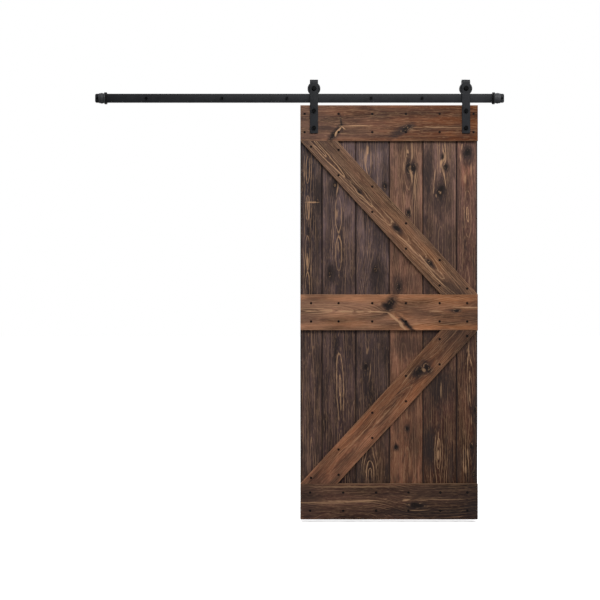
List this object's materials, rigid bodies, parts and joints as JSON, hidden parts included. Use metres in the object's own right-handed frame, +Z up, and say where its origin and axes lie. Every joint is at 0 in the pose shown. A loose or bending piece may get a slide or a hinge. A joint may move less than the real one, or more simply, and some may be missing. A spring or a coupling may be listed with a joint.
{
  "type": "sliding barn door",
  "caption": "Plank door with K-frame braces that hangs from a flat wall-mounted track on strap hangers and rolls sideways on grooved wheels between rubber-faced end stops.",
  "frame": {"origin": "where the middle lag bolt's axis crosses the wall plane, at half the track's height", "axes": "+X along the track to the right as seen from the room, +Y into the wall, +Z up; the door's face looks along -Y"},
  "size_m": [2.11, 0.1164, 2.2675],
  "materials": {
    "plank_wood": "dark walnut stain on planed pine",
    "frame_wood": "red-brown stain on planed pine",
    "wood_screws": "black phosphate",
    "hanger_steel": "satin black powder coat",
    "track_steel": "satin black powder coat",
    "wheel_steel": "satin black powder coat on turned steel",
    "fasteners": "black oxide",
    "bearing_steel": "ground steel",
    "bearing_cage": "pressed steel",
    "rubber": "matte moulded"
  },
  "bodies": {
    "track": {"track_bar": "track_steel", "standoffs": "track_steel", "lag_bolts": "fasteners", "lag_washers": "track_steel", "end_screws": "fasteners", "end_stop_left": "track_steel", "bumper_left": "rubber", "stop_grub_screw_left": "fasteners", "end_stop_right": "track_steel", "bumper_right": "rubber", "stop_grub_screw_right": "fasteners"},
    "door": {"plank_1": "plank_wood", "plank_2": "plank_wood", "plank_3": "plank_wood", "plank_4": "plank_wood", "plank_5": "plank_wood", "plank_6": "plank_wood", "top_rail": "frame_wood", "middle_rail": "frame_wood", "bottom_rail": "frame_wood", "upper_brace": "frame_wood", "lower_brace": "frame_wood", "top_rail_screws": "wood_screws", "middle_rail_screws": "wood_screws", "bottom_rail_screws": "wood_screws", "upper_brace_screws": "wood_screws", "lower_brace_screws": "wood_screws", "hanger_strap_left": "hanger_steel", "door_bolts_left": "fasteners", "door_washers_left": "hanger_steel", "sleeve_nuts_left": "hanger_steel", "axle_bolt_left": "fasteners", "axle_spacers_left": "bearing_steel", "axle_nut_left": "fasteners", "bearing_inner_ring_left": "bearing_steel", "hanger_strap_right": "hanger_steel", "door_bolts_right": "fasteners", "door_washers_right": "hanger_steel", "sleeve_nuts_right": "hanger_steel", "axle_bolt_right": "fasteners", "axle_spacers_right": "bearing_steel", "axle_nut_right": "fasteners", "bearing_inner_ring_right": "bearing_steel"},
    "wheel_left": {"wheel_left": "wheel_steel", "bearing_outer_ring_left": "bearing_steel", "bearing_seals_left": "rubber"},
    "balls_left": {"bearing_balls_left": "bearing_steel", "bearing_cage_left": "bearing_cage"},
    "wheel_right": {"wheel_right": "wheel_steel", "bearing_outer_ring_right": "bearing_steel", "bearing_seals_right": "rubber"},
    "balls_right": {"bearing_balls_right": "bearing_steel", "bearing_cage_right": "bearing_cage"}
  },
  "joints": [
    {"name": "door_slide", "type": "slide", "parent": "track", "child": "door", "axis": [1, 0, 0], "range_m": [-1.0393, 0.1085]},
    {"name": "wheel_left_spin", "type": "hinge", "parent": "door", "child": "wheel_left", "pos_m": [0.13891, -0.035, 0.049], "axis": [0, 1, 0], "range_deg": [-2300, 250]},
    {"name": "wheel_right_spin", "type": "hinge", "parent": "door", "child": "wheel_right", "pos_m": [0.92191, -0.035, 0.049], "axis": [0, 1, 0], "range_deg": [-2300, 250]},
    {"name": "balls_left_orbit", "type": "hinge", "parent": "door", "child": "balls_left", "pos_m": [0.13891, -0.035, 0.049], "axis": [0, 1, 0], "range_deg": [-1460, 160]},
    {"name": "balls_right_orbit", "type": "hinge", "parent": "door", "child": "balls_right", "pos_m": [0.92191, -0.035, 0.049], "axis": [0, 1, 0], "range_deg": [-1460, 160]}
  ],
  "couplings": [
    {"joint": "wheel_left_spin", "follows": "door_slide", "rad_per_m": 38.462},
    {"joint": "wheel_right_spin", "follows": "door_slide", "rad_per_m": 38.462},
    {"joint": "balls_left_orbit", "follows": "door_slide", "rad_per_m": 24.388},
    {"joint": "balls_right_orbit", "follows": "door_slide", "rad_per_m": 24.388}
  ]
}
